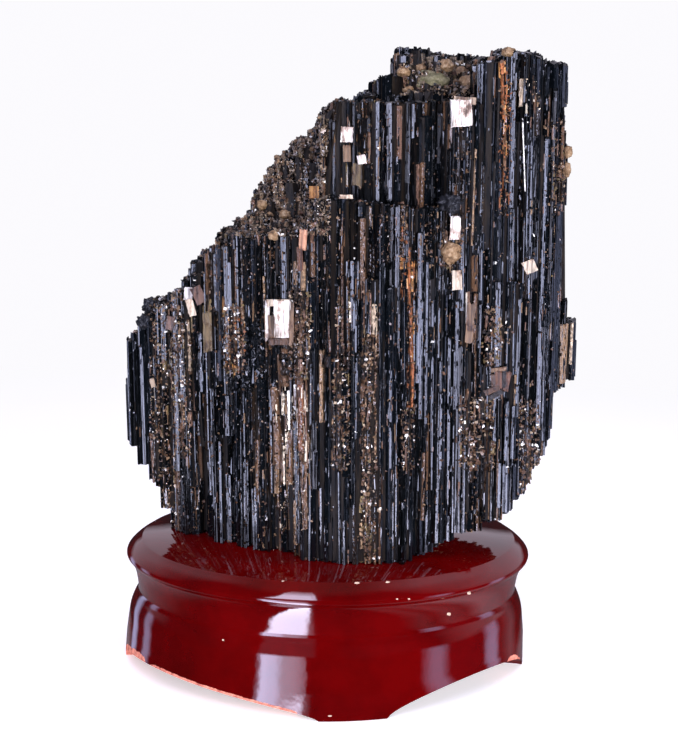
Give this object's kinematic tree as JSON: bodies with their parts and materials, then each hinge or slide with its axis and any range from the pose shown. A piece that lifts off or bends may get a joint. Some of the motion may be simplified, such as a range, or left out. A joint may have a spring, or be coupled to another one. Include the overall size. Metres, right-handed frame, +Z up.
{
  "type": "black tourmaline crystal specimen on a wooden stand",
  "caption": "Bundle of fluted black tourmaline crystals grown together with mica, standing upright on an oval carved stand of red lacquered wood.",
  "frame": {"origin": "on the ground under the middle of the object's bounding box", "axes": "+Z up, X along the oval stand's length with +X to the right as seen from the front, -Y towards the front"},
  "size_m": [0.1971, 0.14, 0.2723],
  "materials": {
    "black_tourmaline": "glassy black fluted crystal faces with brown and white mica between them",
    "red_lacquer": "deep red high-gloss lacquer over carved wood, with a few chips"
  },
  "bodies": {
    "root": {"tourmaline_crystal": "black_tourmaline", "display_stand": "red_lacquer"}
  },
  "joints": []
}
